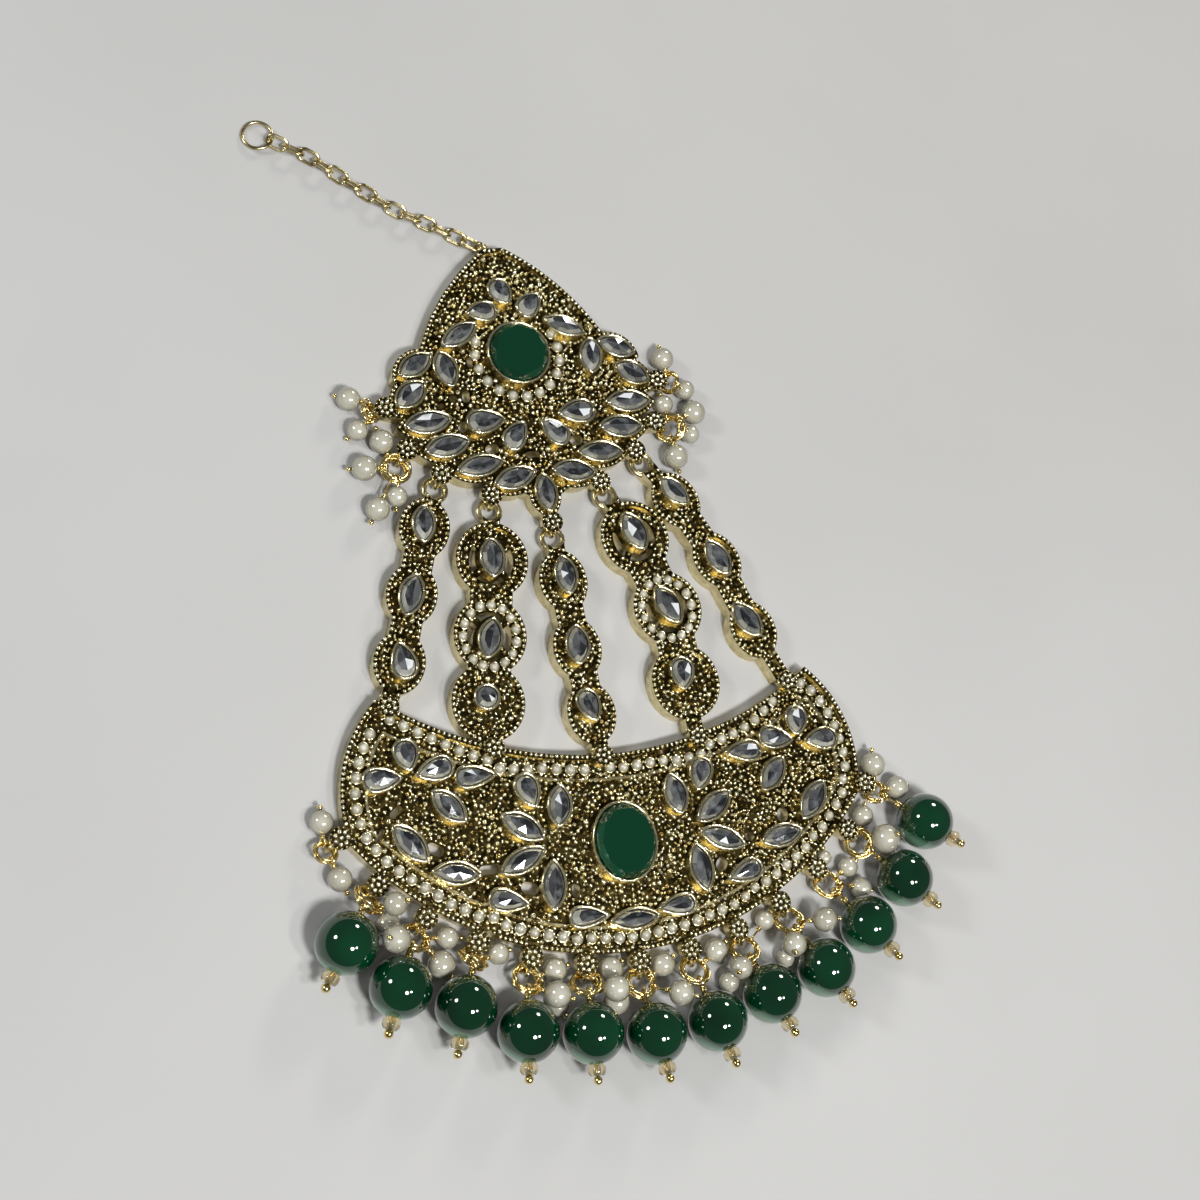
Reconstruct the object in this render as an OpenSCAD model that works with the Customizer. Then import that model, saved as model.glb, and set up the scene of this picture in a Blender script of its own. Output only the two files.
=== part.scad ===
/* [Plates] */
// Thickness of the two cast plates and of the strands
plate_t = 2.0; // [1.6:0.1:2.4]
// Height of the rail along every edge, above the plate
rail_h = 0.5; // [0.3:0.1:0.8]
// Width of that rail
rail_w = 0.7; // [0.5:0.1:0.9]
// Width of the crescent across its widest part
crescent_w = 74.6; // [74:0.1:75.2]
// Radius of the crescent's lower edge
crescent_r = 46.8; // [46.5:0.1:47.1]
// Radius of the crescent's hollow upper edge
hollow_r = 55; // [54:0.5:56]

/* [Stones] */
// Height that a bezel stands above its plate
bezel_h = 1.2; // [0.9:0.1:1.4]
// Thickness of a bezel's wall
bezel_w = 0.35; // [0.3:0.05:0.45]
// Clearance between a stone and its bezel
seat_gap = 0.1; // [0.08:0.01:0.14]
// Diameter of the round green stone in the top plate
round_stone_d = 8.4; // [8:0.1:8.8]
// Length of the oval green stone in the crescent
oval_stone_l = 10; // [9.6:0.1:10.2]
// Width of the oval green stone
oval_stone_w = 8.4; // [8:0.1:8.6]

/* [Drops] */
// Diameter of a green bead
green_d = 8; // [7.8:0.1:8.1]
// Bore of a green bead
green_bore = 0.8; // [0.7:0.05:1]
// Diameter of a jump ring between the centres of its wire
jump_d = 3.4; // [3.3:0.1:3.5]
// Diameter of the small jump rings, between the centres of their wire
small_jump_d = 2.6; // [2.5:0.1:2.7]
// Wire of a jump ring
jump_wire = 0.5; // [0.4:0.05:0.5]
// Wire of a bead's pin
pin_wire = 0.4; // [0.35:0.05:0.4]
// Wire of a pearl's pin
pearl_wire = 0.32; // [0.28:0.02:0.34]
// Bore of a pearl
pearl_bore = 0.56; // [0.52:0.02:0.6]

/* [Chain] */
// Length of a chain link over its wire
link_l = 3.4; // [3.3:0.1:3.5]
// Width of a chain link over its wire
link_w = 2.2; // [2.1:0.1:2.3]
// Wire of a chain link
link_wire = 0.5; // [0.4:0.05:0.5]
// Diameter of the ring at the chain's free end, over its wire
end_ring_d = 4.6; // [4.4:0.1:4.8]

/* [Hidden] */
$fn = 48;
antique_gold = "#a08345";
bright_gold = "#d4b35c";
clear_stone = "#8d969c";
emerald = "#0a4a30";
pearl_white = "#e9dfce";

// The middle of the whole jewel's outline, in the drawing's own frame
middle = [3.9, -20.05];

// Columns of every stone table
X = 0;
Y = 1;
LENGTH = 2;
WIDTH = 3;
ANGLE = 4;
CUT = 5;
NAVETTE = 0;
PEAR = 1;
OVAL = 2;

// Top plate, in its own frame; the rows of the first table stand on both sides
top_pairs = [
  [7.9, 16.0, 5.4, 2.2, -26, NAVETTE],
  [15.1, 12.2, 5.0, 2.4, -26, NAVETTE],
  [10.9, 11.2, 4.6, 2.7, 80, NAVETTE],
  [16.6, 8.1, 4.8, 2.7, -32, NAVETTE],
  [15.0, 3.9, 6.0, 2.6, -4, NAVETTE],
  [6.8, 3.2, 4.8, 2.8, 180, PEAR],
  [13.0, 0.3, 5.8, 2.6, -7, NAVETTE],
  [2.9, 0.7, 4.0, 2.5, 132, PEAR],
  [9.0, -3.0, 6.0, 2.4, -6, NAVETTE],
  [4.4, -5.3, 5.6, 2.5, -11, NAVETTE],
];
top_singles = [
  [-0.5, 21.8, 3.4, 2.6, -62, PEAR],
  [-3.9, 19.1, 3.8, 2.3, 180, PEAR],
  [3.4, 19.6, 3.7, 2.5, 41, PEAR],
  [-0.4, -7.9, 4.8, 2.5, 90, NAVETTE],
];
top_round = [0.2, 12.6, round_stone_d, round_stone_d, 0, OVAL];

// Crescent, in the drawing's frame
crescent_pairs = [
  [28.3, -42.3, 3.5, 2.6, -98, PEAR],
  [31.8, -45.2, 4.4, 2.5, 180, PEAR],
  [24.7, -44.5, 4.4, 2.5, -12, PEAR],
  [19.5, -45.9, 4.7, 2.3, 180, PEAR],
  [23.4, -49.4, 5.1, 2.5, 48, NAVETTE],
  [12.5, -48.4, 4.0, 2.7, -108, PEAR],
  [8.4, -50.8, 4.9, 2.7, -80, NAVETTE],
  [13.8, -53.0, 5.7, 2.5, 34, NAVETTE],
  [29.0, -53.6, 5.7, 2.6, 51, NAVETTE],
  [23.4, -58.0, 5.7, 2.4, 9, NAVETTE],
  [14.4, -57.4, 6.0, 2.4, -22, NAVETTE],
  [10.6, -61.0, 5.8, 2.7, 97, NAVETTE],
  [17.0, -62.3, 4.6, 2.3, 196, PEAR],
  [6.4, -65.6, 4.6, 2.1, 183, PEAR],
];
crescent_single = [0.1, -66.6, 6.2, 2.2, 1, NAVETTE];
crescent_oval = [0.1, -56.4, oval_stone_l, oval_stone_w, 91, OVAL];

// How the top plate lies against the crescent
top_spot = [-4.7, 0.1];
top_turn = 5.3;

// Arc centres of the crescent: lower edge, hollow edge and the rounded side
lower_y = -24;
hollow_y = -44.5 + hollow_r;
side_r = 17.7;
side_spot = [crescent_w / 2 - side_r, -48];

// Lugs of the top plate in its own frame, left to right
top_lugs = [[-20.4, 6.6], [-18.6, 0.5], [-14.6, -3.4], [-8.2, -7.2], [-0.4, -12.1],
            [8.0, -7.2], [14.4, -3.4], [18.5, 0.5], [20.3, 6.6]];
lug_r = 1.5;
lug_t = 1;

// Strands, left to right: the middles of their three lobes, and the foot
LOBE_1 = 0;
LOBE_2 = 1;
LOBE_3 = 2;
FOOT = 3;
WIDE = 4;
strand_table = [
  [[-22.1, -12.1], [-24.9, -21.1], [-27.6, -30.1], [-29.8, -35.8], false],
  [[-13.2, -16.9], [-14.8, -27.3], [-16.2, -36.3], [-16.3, -42.4], true],
  [[-3.4, -20.3], [-2.7, -29.8], [-1.9, -38.8], [-1.2, -44.7], false],
  [[8.1, -14.6], [11.5, -25.0], [12.6, -35.6], [13.0, -43.2], true],
  [[15.2, -9.4], [20.2, -18.4], [24.2, -28.8], [28.0, -36.6], false],
];
narrow_lobe = [7.0, 8.6];
wide_lobe = [10.2, 10.6];

// Stones of the strands: strand number, then the columns of a stone
strand_stones = [
  [0, [-22.3, -11.6, 4.5, 2.5, 84, NAVETTE]],
  [0, [-25.1, -21.2, 5.2, 2.7, 69, NAVETTE]],
  [0, [-27.2, -30.0, 4.3, 2.8, 99, PEAR]],
  [1, [-13.3, -16.7, 4.7, 2.8, 88, NAVETTE]],
  [1, [-15.0, -27.7, 4.9, 2.7, 73, NAVETTE]],
  [1, [-16.5, -35.6, 2.8, 2.7, 0, OVAL]],
  [2, [-3.1, -19.6, 4.8, 2.6, 95, NAVETTE]],
  [2, [-2.8, -29.4, 4.8, 2.8, 88, NAVETTE]],
  [2, [-2.3, -37.8, 3.9, 2.6, -71, PEAR]],
  [3, [7.9, -13.8, 5.2, 3.0, 114, NAVETTE]],
  [3, [11.4, -24.6, 5.4, 3.0, 118, NAVETTE]],
  [3, [12.0, -34.4, 3.9, 2.8, -93, PEAR]],
  [4, [14.9, -8.2, 4.7, 2.5, 134, NAVETTE]],
  [4, [20.1, -18.2, 5.0, 2.8, 118, NAVETTE]],
  [4, [23.2, -27.4, 5.3, 2.9, 126, NAVETTE]],
];

// Pierced gaps: middle, length, width and angle
top_gaps = [[-8.5, 7.3, 1.7, 1.1, 80], [-10.4, 7.2, 1.1, 0.9, 0], [-9.9, 3.0, 1.6, 1.2, 60],
            [9.9, 3.0, 1.6, 1.2, 120], [-6.4, -0.6, 2.0, 1.4, 10], [6.2, -0.7, 1.9, 1.5, 0],
            [-0.7, -2.0, 2.0, 0.9, 0], [-6.9, 12.2, 1.6, 0.8, 90], [-12.4, 6.3, 1.0, 0.8, 0]];
crescent_gaps = [[-30.2, -49.4, 2.0, 0.9, 40], [-32.6, -52.2, 2.0, 0.6, 55],
                 [-25.6, -54.7, 2.4, 1.4, -30], [24.4, -55.2, 2.0, 1.6, 80],
                 [-18.6, -58.0, 3.0, 1.2, 0], [18.9, -57.6, 1.4, 1.2, 0],
                 [-13.6, -61.0, 2.4, 1.5, -20], [14.1, -60.9, 1.9, 1.6, 60],
                 [-7.3, -62.0, 1.7, 1.1, 90]];

// Lower lugs of the crescent stand on one arc, from the left horn to the right
lower_lug_r = 48.1;
lower_lug_step = 8.9;
lower_lugs = [-6:6];
ear_out = 1.2;
ear_z = 1.3;
ear_r = 0.95;
ear_wire = 0.6;

// Green beads, left to right: the lug that carries each, and its distance from the arc's centre
bead_step = 8.75;
bead_turn = 0.4;
bead_reach = [56.4, 57.3, 56.2, 57.3, 56.8, 57.5, 57.9, 57.5, 58.7, 58.4, 58.5, 57.2];
pin_loop_d = 1.5;
pin_ball_d = 1.2;
pin_end = 1.9;

// Pearls at the crescent's lugs: the lug whose ring carries each, the place, height and size of the
// pearl, and how far its loop stands from the nearest point of the ring, in degrees
LUG = 0;
HEIGHT = 3;
SIZE = 4;
SLIP = 5;
drop_pearl_table = [
  [-6, -39.8, -49.7, 1.6, 3.1, 0],
  [-6, -38.2, -57.0, 1.7, 3.2, 0],
  [-5, -32.3, -61.0, 4.8, 3.1, 0],
  [-5, -32.9, -63.3, 1.8, 3.4, 0],
  [-4, -32.7, -65.3, 5.1, 3.6, 0],
  [-4, -25.2, -65.9, 1.5, 2.9, 0],
  [-4, -26.5, -69.1, 1.9, 3.6, 0],
  [-3, -18.8, -68.7, 1.5, 2.9, 0],
  [-2, -11.5, -71.7, 1.6, 3.2, 0],
  [-2, -12.4, -74.8, 4.2, 3.5, -12],
  [-2, -11.6, -76.3, 1.4, 2.8, 14],
  [-1, -3.9, -72.6, 1.7, 3.4, 0],
  [-1, -4.6, -75.1, 5.0, 3.5, 0],
  [0, -3.7, -76.9, 1.8, 3.5, 0],
  [0, 3.6, -73.0, 1.7, 3.2, 0],
  [0, 4.6, -76.9, 4.2, 3.4, 0],
  [1, 11.5, -72.2, 1.7, 3.3, 0],
  [2, 13.3, -74.8, 5.0, 3.1, 12],
  [2, 12.9, -76.5, 1.5, 2.9, -12],
  [2, 19.5, -69.1, 1.4, 2.7, 0],
  [3, 21.6, -72.8, 5.0, 3.4, 10],
  [3, 21.9, -74.4, 1.4, 2.7, -15],
  [3, 27.2, -70.1, 4.2, 3.4, 0],
  [4, 30.2, -61.7, 1.2, 2.1, 0],
  [4, 33.6, -63.4, 1.4, 2.8, 0],
  [4, 35.0, -66.5, 1.6, 3.1, 0],
  [5, 37.2, -56.6, 1.6, 3.0, 0],
  [5, 38.1, -60.3, 5.3, 4.1, 0],
  [5, 40.9, -60.2, 1.5, 2.8, 14],
  [6, 40.1, -49.5, 1.8, 3.5, 0],
  [6, 43.4, -53.1, 1.7, 3.3, 0],
];

// Outer lugs of the top plate that carry a ring: lug, bearing, tilt and diameter of the ring
side_stations = [[0, 190, 50, small_jump_d], [1, 235, 20, jump_d], [7, -20, 40, jump_d], [8, -5, 50, small_jump_d]];

// Pearls there: as above, with the row of the station instead of the lug
side_pearl_table = [
  [0, -30.3, 6.5, 1.7, 3.3, 0],
  [0, -29.5, 2.1, 1.5, 2.9, 0],
  [1, -26.4, 0.4, 1.7, 3.3, 0],
  [1, -29.2, -3.3, 1.8, 3.5, 0],
  [1, -25.1, -7.3, 1.5, 2.9, 0],
  [1, -28.0, -9.0, 1.7, 3.3, 0],
  [2, 16.0, 5.3, 1.4, 2.8, 0],
  [2, 20.4, 3.9, 1.8, 3.5, 0],
  [2, 19.5, 0.7, 1.5, 2.7, 0],
  [2, 16.5, -2.8, 1.9, 3.6, 0],
  [3, 16.8, 12.2, 1.7, 3.3, 0],
  [3, 19.7, 7.5, 1.5, 2.9, 0],
];

// Chain: the points that its middle line passes, from the top plate to the end ring
chain_points = [[-8.6, 29.1], [-15.0, 32.3], [-20.6, 34.8], [-26.2, 38.4], [-31.6, 42.2], [-36.2, 44.3]];
chain_z = 0.95;
chain_bearing = 142;

// Bearings and small vectors
function unit(v) = v / norm(v);
function lift(p, z) = [p.x, p.y, z];
function polar(r, a) = [r * sin(a), lower_y - r * cos(a)];
function turned(p, a) = [p.x * cos(a) - p.y * sin(a), p.x * sin(a) + p.y * cos(a)];
function top_at(p) = top_spot + turned(p, top_turn);
function mirrored(row) = [-row[X], row[Y], row[LENGTH], row[WIDTH], 180 - row[ANGLE], row[CUT]];
function both_sides(rows) = concat(rows, [for (row = rows) mirrored(row)]);

top_small = concat(both_sides(top_pairs), top_singles);
top_all = concat(top_small, [top_round]);
crescent_small = concat(both_sides(crescent_pairs), [crescent_single]);
crescent_all = concat(crescent_small, [crescent_oval]);
function stones_of(i) = [for (row = strand_stones) if (row[0] == i) row[1]];

// A navette is the lens between two arcs; a pear is half of a longer lens, closed by a half circle
function lens_r(a, b) = (a * a + b * b) / (2 * b);
function lens_y(x, a, b) = sqrt(max(0, lens_r(a, b) * lens_r(a, b) - x * x)) - lens_r(a, b) + b;
function pear_heel(row) = (row[WIDTH] - row[LENGTH]) / 2;

// Outline of a cut stone about its middle, n points
function edge_point(row, a) = let (
    half = row[WIDTH] / 2,
    s = sign(round(sin(a) * 1000)),
    x = row[LENGTH] / 2 * cos(a)
  )
  row[CUT] == NAVETTE ? [x, s * lens_y(x, row[LENGTH] / 2, half)]
  : row[CUT] == OVAL ? [x, half * sin(a)]
  : x > pear_heel(row) ? [x, s * lens_y(x - pear_heel(row), row[LENGTH] - half, half)]
  : [x, s * sqrt(max(0, half * half - (x - pear_heel(row)) * (x - pear_heel(row))))];
function outline(row, n) = [for (i = [0:n - 1]) turned(edge_point(row, 360 * i / n), row[ANGLE])];

// The lens with half length a and half width b, grown on every side
module lens_2d(a, b, grow) {
  r = lens_r(a, b);
  intersection_for(s = [-1, 1]) translate([0, s * (r - b)]) circle(r = r + grow);
}

module outline_2d(row, grow) {
  half = row[WIDTH] / 2;
  translate([row[X], row[Y]])
    rotate(row[ANGLE]) {
      if (row[CUT] == NAVETTE) lens_2d(row[LENGTH] / 2, half, grow);
      if (row[CUT] == OVAL) ellipse_2d(row[LENGTH], row[WIDTH], grow);
      if (row[CUT] == PEAR)
        translate([pear_heel(row), 0]) {
          circle(r = half + grow);
          intersection() {
            lens_2d(row[LENGTH] - half, half, grow);
            translate([0, -row[LENGTH]]) square(2 * row[LENGTH]);
          }
        }
    }
}

module ellipse_2d(length, width, grow) {
  scale([length / 2 + grow, width / 2 + grow]) circle(r = 1, $fn = 64);
}

// A closed solid through level rings of the same number of points
module loft(rings) {
  n = len(rings[0]);
  faces = concat(
    [[for (i = [0:n - 1]) i]],
    [for (k = [0:len(rings) - 2], i = [0:n - 1])
      [k * n + i, (k + 1) * n + i, (k + 1) * n + (i + 1) % n, k * n + (i + 1) % n]],
    [[for (i = [n - 1:-1:0]) (len(rings) - 1) * n + i]]
  );
  polyhedron([for (ring = rings, p = ring) p], faces);
}

// A cut stone: seat, girdle, crown facets and a flat table
module cut_stone(row, z, tall, n) {
  base = outline(row, n);
  levels = [[0, 0.72], [0.35, 1], [0.5, 1], [0.85, 0.78], [1, 0.58]];
  translate([row[X], row[Y], z])
    loft([for (level = levels) [for (p = base) lift(p * level[1], tall * level[0])]]);
}

module stone_field(rows) {
  for (row = rows)
    cut_stone(row, plate_t + seat_gap, bezel_h + 0.5, 10);
}

module bezels_2d(rows) {
  difference() {
    union() for (row = rows) outline_2d(row, seat_gap + bezel_w);
    union() for (row = rows) outline_2d(row, seat_gap);
  }
}

module slot_2d(gap) {
  reach = (gap[LENGTH] - gap[WIDTH]) / 2;
  translate([gap[X], gap[Y]])
    rotate(gap[ANGLE]) {
      for (s = [-1, 1]) translate([s * reach, 0]) circle(d = gap[WIDTH], $fn = 24);
      square([2 * reach, gap[WIDTH]], center = true);
    }
}

// A ring of round wire about its own middle, its axis along Z
module wire_ring(r, wire) {
  rotate_extrude($fn = 32) translate([r, 0]) circle(d = wire, $fn = 16);
}

// Turns a child's Z axis to a direction
module aim(v) {
  rotate([0, acos(v.z / norm(v)), atan2(v.y, v.x)]) children();
}

module rod(a, b, wire) {
  translate(a) aim(b - a) cylinder(h = norm(b - a), d = wire, $fn = 16);
}

// A ring whose axis is level and square to a bearing: the hole of a lug or a pin
module upright_ring(at, bearing, r, wire) {
  translate(at) rotate([90, 0, bearing]) wire_ring(r, wire);
}

// Bearing of one point from another, from the +X axis
function bearing(a, b) = atan2(b.y - a.y, b.x - a.x);

module bar_2d(a, b, w) {
  translate((a + b) / 2) rotate(bearing(a, b)) square([norm(b - a), w], center = true);
}

// Two-dimensional outlines
arch_r = 34;
arch_side = 16.9;
arch_foot = 8;
arch_top = 28.6;
body_edge = [[14.4, 13.8], [16.4, 9], [15.2, 3], [12, -2], [8, -5], [4, -7.2], [1.4, -8.6]];
edge_stones = [1, 3, 4, 6, 8, 9];
pad = 1.1;
lug_root = 0.8;
lug_neck = 1.8;

// Each outline can be drawn again, moved inwards by a distance
module top_outline_2d(inset = 0) {
  intersection() {
    arch_2d(1, inset);
    arch_2d(-1, inset);
    translate([-20, arch_foot]) square([40, arch_top - arch_foot - inset]);
  }
  offset(delta = -inset)
    polygon(concat(body_edge, [for (i = [len(body_edge) - 1:-1:0]) [-body_edge[i].x, body_edge[i].y]]));
  for (i = edge_stones) {
    outline_2d(top_pairs[i], pad - inset);
    outline_2d(mirrored(top_pairs[i]), pad - inset);
  }
  outline_2d(top_singles[3], pad - inset);
  for (lug = top_lugs) bar_2d(lug, lug_root * lug, lug_neck - 2 * inset);
}

module arch_2d(side, inset) {
  translate([side * arch_side, 0]) circle(r = arch_r - inset, $fn = 120);
}

module crescent_outline_2d(inset = 0) {
  difference() {
    intersection() {
      translate([0, lower_y]) circle(r = crescent_r - inset, $fn = 160);
      union() {
        for (s = [-1, 1])
          translate([s * side_spot.x, side_spot.y]) circle(r = side_r - inset, $fn = 96);
        translate([0, side_spot.y]) square([2 * side_spot.x, 60], center = true);
      }
    }
    translate([0, hollow_y]) circle(r = hollow_r + inset, $fn = 160);
  }
}

// A line raised above the plate, between two insets of an outline
module raised(h) {
  translate([0, 0, plate_t - 0.2]) linear_extrude(h + 0.2) children();
}

inner_line = 3.2;
inner_line_w = 0.35;
inner_line_h = 0.35;

module bezel_walls(rows) {
  raised(bezel_h) bezels_2d(rows);
}

module stone_floors(rows) {
  translate([0, 0, plate_t]) linear_extrude(3) for (row = rows) outline_2d(row, seat_gap);
}

module gap_cuts(gaps) {
  translate([0, 0, -1]) linear_extrude(plate_t + 3) for (gap = gaps) slot_2d(gap);
}

// Eyes of a strand: a large one that hangs in an ear of the top plate, a small one at the foot
eye_r = 1.5;
eye_wire = 0.84;
eye_reach = 2.1;
eye_z = 1.3;
top_ear_r = 1.05;
top_ear_wire = 0.7;
top_ear_z = 1.45;
foot_eye_r = 0.8;
foot_eye_wire = 0.6;
foot_ear_r = 0.75;
foot_ear_wire = 0.5;
foot_z = 1.2;
cap_z = 2.6;

// Lugs 2 to 6 of the top plate carry the strands
function strand_lug(i) = top_at(top_lugs[i + 2]);
function strand_way(i) = unit(strand_table[i][LOBE_1] - strand_lug(i));
function eye_spot(i) = strand_lug(i) + eye_reach * strand_way(i);
function foot_way(i) = unit(strand_table[i][LOBE_3] - strand_table[i][FOOT]);
function foot_eye_spot(i) = strand_table[i][FOOT] + foot_eye_r * foot_way(i);

module strand_ear(i) {
  upright_ring(lift(eye_spot(i) - eye_r * strand_way(i), top_ear_z), atan2(strand_way(i).y, strand_way(i).x),
               top_ear_r, top_ear_wire);
}

module foot_ear(i) {
  upright_ring(lift(strand_table[i][FOOT], foot_z), atan2(foot_way(i).y, foot_way(i).x),
               foot_ear_r, foot_ear_wire);
}

module cap(at, r) {
  translate(lift(at, plate_t - 0.1)) cylinder(h = lug_t + 0.1, r = r);
}

// Where a lug with a jump ring stands: its middle, bearing of the ring, and tilt of the ring
function lower_lug(k) = polar(abs(k) == 6 ? lower_lug_r - 1.1 : lower_lug_r, lower_lug_step * k);
function bead_spot(i) = polar(bead_reach[i], bead_step * (i - 5) + bead_turn);
ring_slack = 0.1;
ring_room = ear_out + ring_slack + (pin_loop_d + pin_wire) / 2 + 0.12 + green_d / 2;
function drop_tilt(k) = k == -6 ? 25
  : acos(min(0.92, max(0.4, (norm(bead_spot(k + 5) - lower_lug(k)) - ring_room) / jump_d)));
function drop_ring_d(k) = abs(k) == 6 ? small_jump_d : jump_d;
function drop_station(k) = [lower_lug(k), lower_lug_step * k - 90, drop_tilt(k), drop_ring_d(k)];
function side_station(row) = [top_at(top_lugs[row[0]]), row[1], row[2], row[3]];

SPOT = 0;
BEARING = 1;
TILT = 2;
RING_D = 3;
function out_way(st) = [cos(st[BEARING]), sin(st[BEARING]), 0];
function side_way(st) = [-sin(st[BEARING]), cos(st[BEARING]), 0];
function ring_way(st) = out_way(st) * cos(st[TILT]) + [0, 0, sin(st[TILT])];
function ear_spot(st) = lift(st[SPOT], ear_z) + ear_out * out_way(st);
function ring_middle(st) = ear_spot(st) + ring_slack * out_way(st) + st[RING_D] / 2 * ring_way(st);
function ring_point(st, a) =
  ring_middle(st) + st[RING_D] / 2 * (cos(a) * ring_way(st) + sin(a) * side_way(st));
function ring_tangent(st, a) = cos(a) * side_way(st) - sin(a) * ring_way(st);

module lug(st) {
  translate(lift(st[SPOT] - 0.5 * [out_way(st).x, out_way(st).y], 0)) cylinder(h = plate_t + 0.2, r = 1);
  upright_ring(ear_spot(st), st[BEARING], ear_r, ear_wire);
  cap(st[SPOT], lug_r);
}

module jump_ring(st) {
  translate(ring_middle(st)) aim(cross(ring_way(st), side_way(st))) wire_ring(st[RING_D] / 2, jump_wire);
}

// Pearl of a station's row, and its pin
pearl_loop_d = 1.1;
pearl_tip = 0.35;
pearl_tip_d = 0.7;
stem_thinner = 0.04;
function pearl_spot(row) = [row[X + 1], row[Y + 1], row[HEIGHT]];
function nearest(st, p) = atan2((p - ring_middle(st)) * side_way(st), (p - ring_middle(st)) * ring_way(st));
function pearl_hook(st, row) = nearest(st, pearl_spot(row)) + row[SLIP];
function pearl_way(st, row) = unit(ring_point(st, pearl_hook(st, row)) - pearl_spot(row));

module drilled_ball(at, way, d, bore) {
  translate(at)
    aim(way)
      difference() {
        sphere(d = d, $fn = 64);
        cylinder(h = 2 * d, d = bore, center = true, $fn = 32);
      }
}

module pearl(st, row) {
  drilled_ball(pearl_spot(row), pearl_way(st, row), row[SIZE], pearl_bore);
}

module pearl_pin(st, row) {
  way = pearl_way(st, row);
  hook = ring_point(st, pearl_hook(st, row));
  tangent = ring_tangent(st, pearl_hook(st, row));
  tip = pearl_spot(row) - (row[SIZE] / 2 + pearl_tip) * way;
  translate(hook) aim(unit(tangent - (tangent * way) * way)) wire_ring(pearl_loop_d / 2, pearl_wire);
  rod(hook - pearl_loop_d / 2 * way, tip, pearl_wire - stem_thinner);
  translate(tip) sphere(d = pearl_tip_d, $fn = 24);
}

// Green bead and its pin
function drop_spot(i) = lift(bead_spot(i), green_d / 2);
function drop_hook(i) = ring_point(drop_station(i - 5), 0);
function drop_way(i) = unit(drop_spot(i) - drop_hook(i));

module green_bead(i) {
  color(emerald) drilled_ball(drop_spot(i), drop_way(i), green_d, green_bore);
}

module bead_pin(i) {
  way = drop_way(i);
  tip = drop_spot(i) + (green_d / 2 + pin_end) * way;
  translate(drop_hook(i)) aim(unit(cross(way, [0, 0, 1]))) wire_ring(pin_loop_d / 2, pin_wire);
  rod(drop_hook(i) + pin_loop_d / 2 * way, tip, pin_wire - stem_thinner);
  translate(tip) sphere(d = pin_ball_d, $fn = 24);
}

// Plates
module top_plate() {
  color(antique_gold)
    difference() {
      union() {
        translate(lift(top_spot, 0)) rotate(top_turn) {
          difference() {
            union() {
              linear_extrude(plate_t) top_outline_2d();
              raised(rail_h)
                difference() {
                  top_outline_2d();
                  top_outline_2d(rail_w);
                }
            }
            stone_floors(top_all);
          }
          bezel_walls(top_all);
        }
        for (i = [0:4]) cap(strand_lug(i), lug_r);
        for (row = side_stations) lug(side_station(row));
        upright_ring(chain_ear, chain_bearing, ear_r, ear_wire);
      }
      for (i = [0:4])
        translate(lift(eye_spot(i), -1)) cylinder(h = cap_z + 1, r = eye_r + eye_wire / 2 + 0.3);
      translate(lift(top_spot, 0)) rotate(top_turn) gap_cuts(top_gaps);
    }
  color(antique_gold) for (i = [0:4]) strand_ear(i);
}

module crescent_plate() {
  color(antique_gold)
    difference() {
      union() {
        difference() {
          union() {
            linear_extrude(plate_t) crescent_outline_2d();
            raised(rail_h)
              difference() {
                crescent_outline_2d();
                crescent_outline_2d(rail_w);
              }
            raised(inner_line_h)
              difference() {
                crescent_outline_2d(inner_line);
                crescent_outline_2d(inner_line + inner_line_w);
              }
          }
          stone_floors(crescent_all);
        }
        bezel_walls(crescent_all);
        for (k = lower_lugs) lug(drop_station(k));
        for (i = [0:4]) cap(strand_table[i][FOOT], 1.4);
      }
      for (i = [0:4])
        translate(lift(foot_eye_spot(i), -1)) cylinder(h = cap_z + 1, r = foot_eye_r + foot_eye_wire / 2 + 0.25);
      gap_cuts(crescent_gaps);
    }
  color(antique_gold) for (i = [0:4]) foot_ear(i);
}

module top_stone() {
  color(emerald)
    translate(lift(top_spot, 0)) rotate(top_turn)
      cut_stone(top_round, plate_t + seat_gap, 2.2, 16);
}

module crescent_stone() {
  color(emerald) cut_stone(crescent_oval, plate_t + seat_gap, 2.4, 20);
}

module top_kundan() {
  color(clear_stone) translate(lift(top_spot, 0)) rotate(top_turn) stone_field(top_small);
}

module crescent_kundan() {
  color(clear_stone) stone_field(crescent_small);
}

// Strands: three scalloped lobes cast in one piece with an eye at each end
narrow_neck = 4.2;
wide_neck = 6;
foot_w = 2.4;
function lobe_size(i) = strand_table[i][WIDE] ? wide_lobe : narrow_lobe;
function neck_w(i) = strand_table[i][WIDE] ? wide_neck : narrow_neck;
function lobe_turn(i, n) = n == 0 ? bearing(strand_table[i][1], strand_table[i][0]) - 90
  : bearing(strand_table[i][n], strand_table[i][n - 1]) - 90;

module lobe_2d(i, n, grow) {
  size = lobe_size(i);
  translate(strand_table[i][n]) rotate(lobe_turn(i, n)) ellipse_2d(size.x, size.y, grow);
}

module strand_outline_2d(i, inset = 0) {
  row = strand_table[i];
  for (n = [0:2]) lobe_2d(i, n, -inset);
  for (n = [0:1]) bar_2d(row[n], row[n + 1], neck_w(i) - 2 * inset);
  bar_2d(row[LOBE_1], eye_spot(i), 2.4 - 2 * inset);
  bar_2d(row[LOBE_3], foot_eye_spot(i), foot_w - 2 * inset);
}

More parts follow.
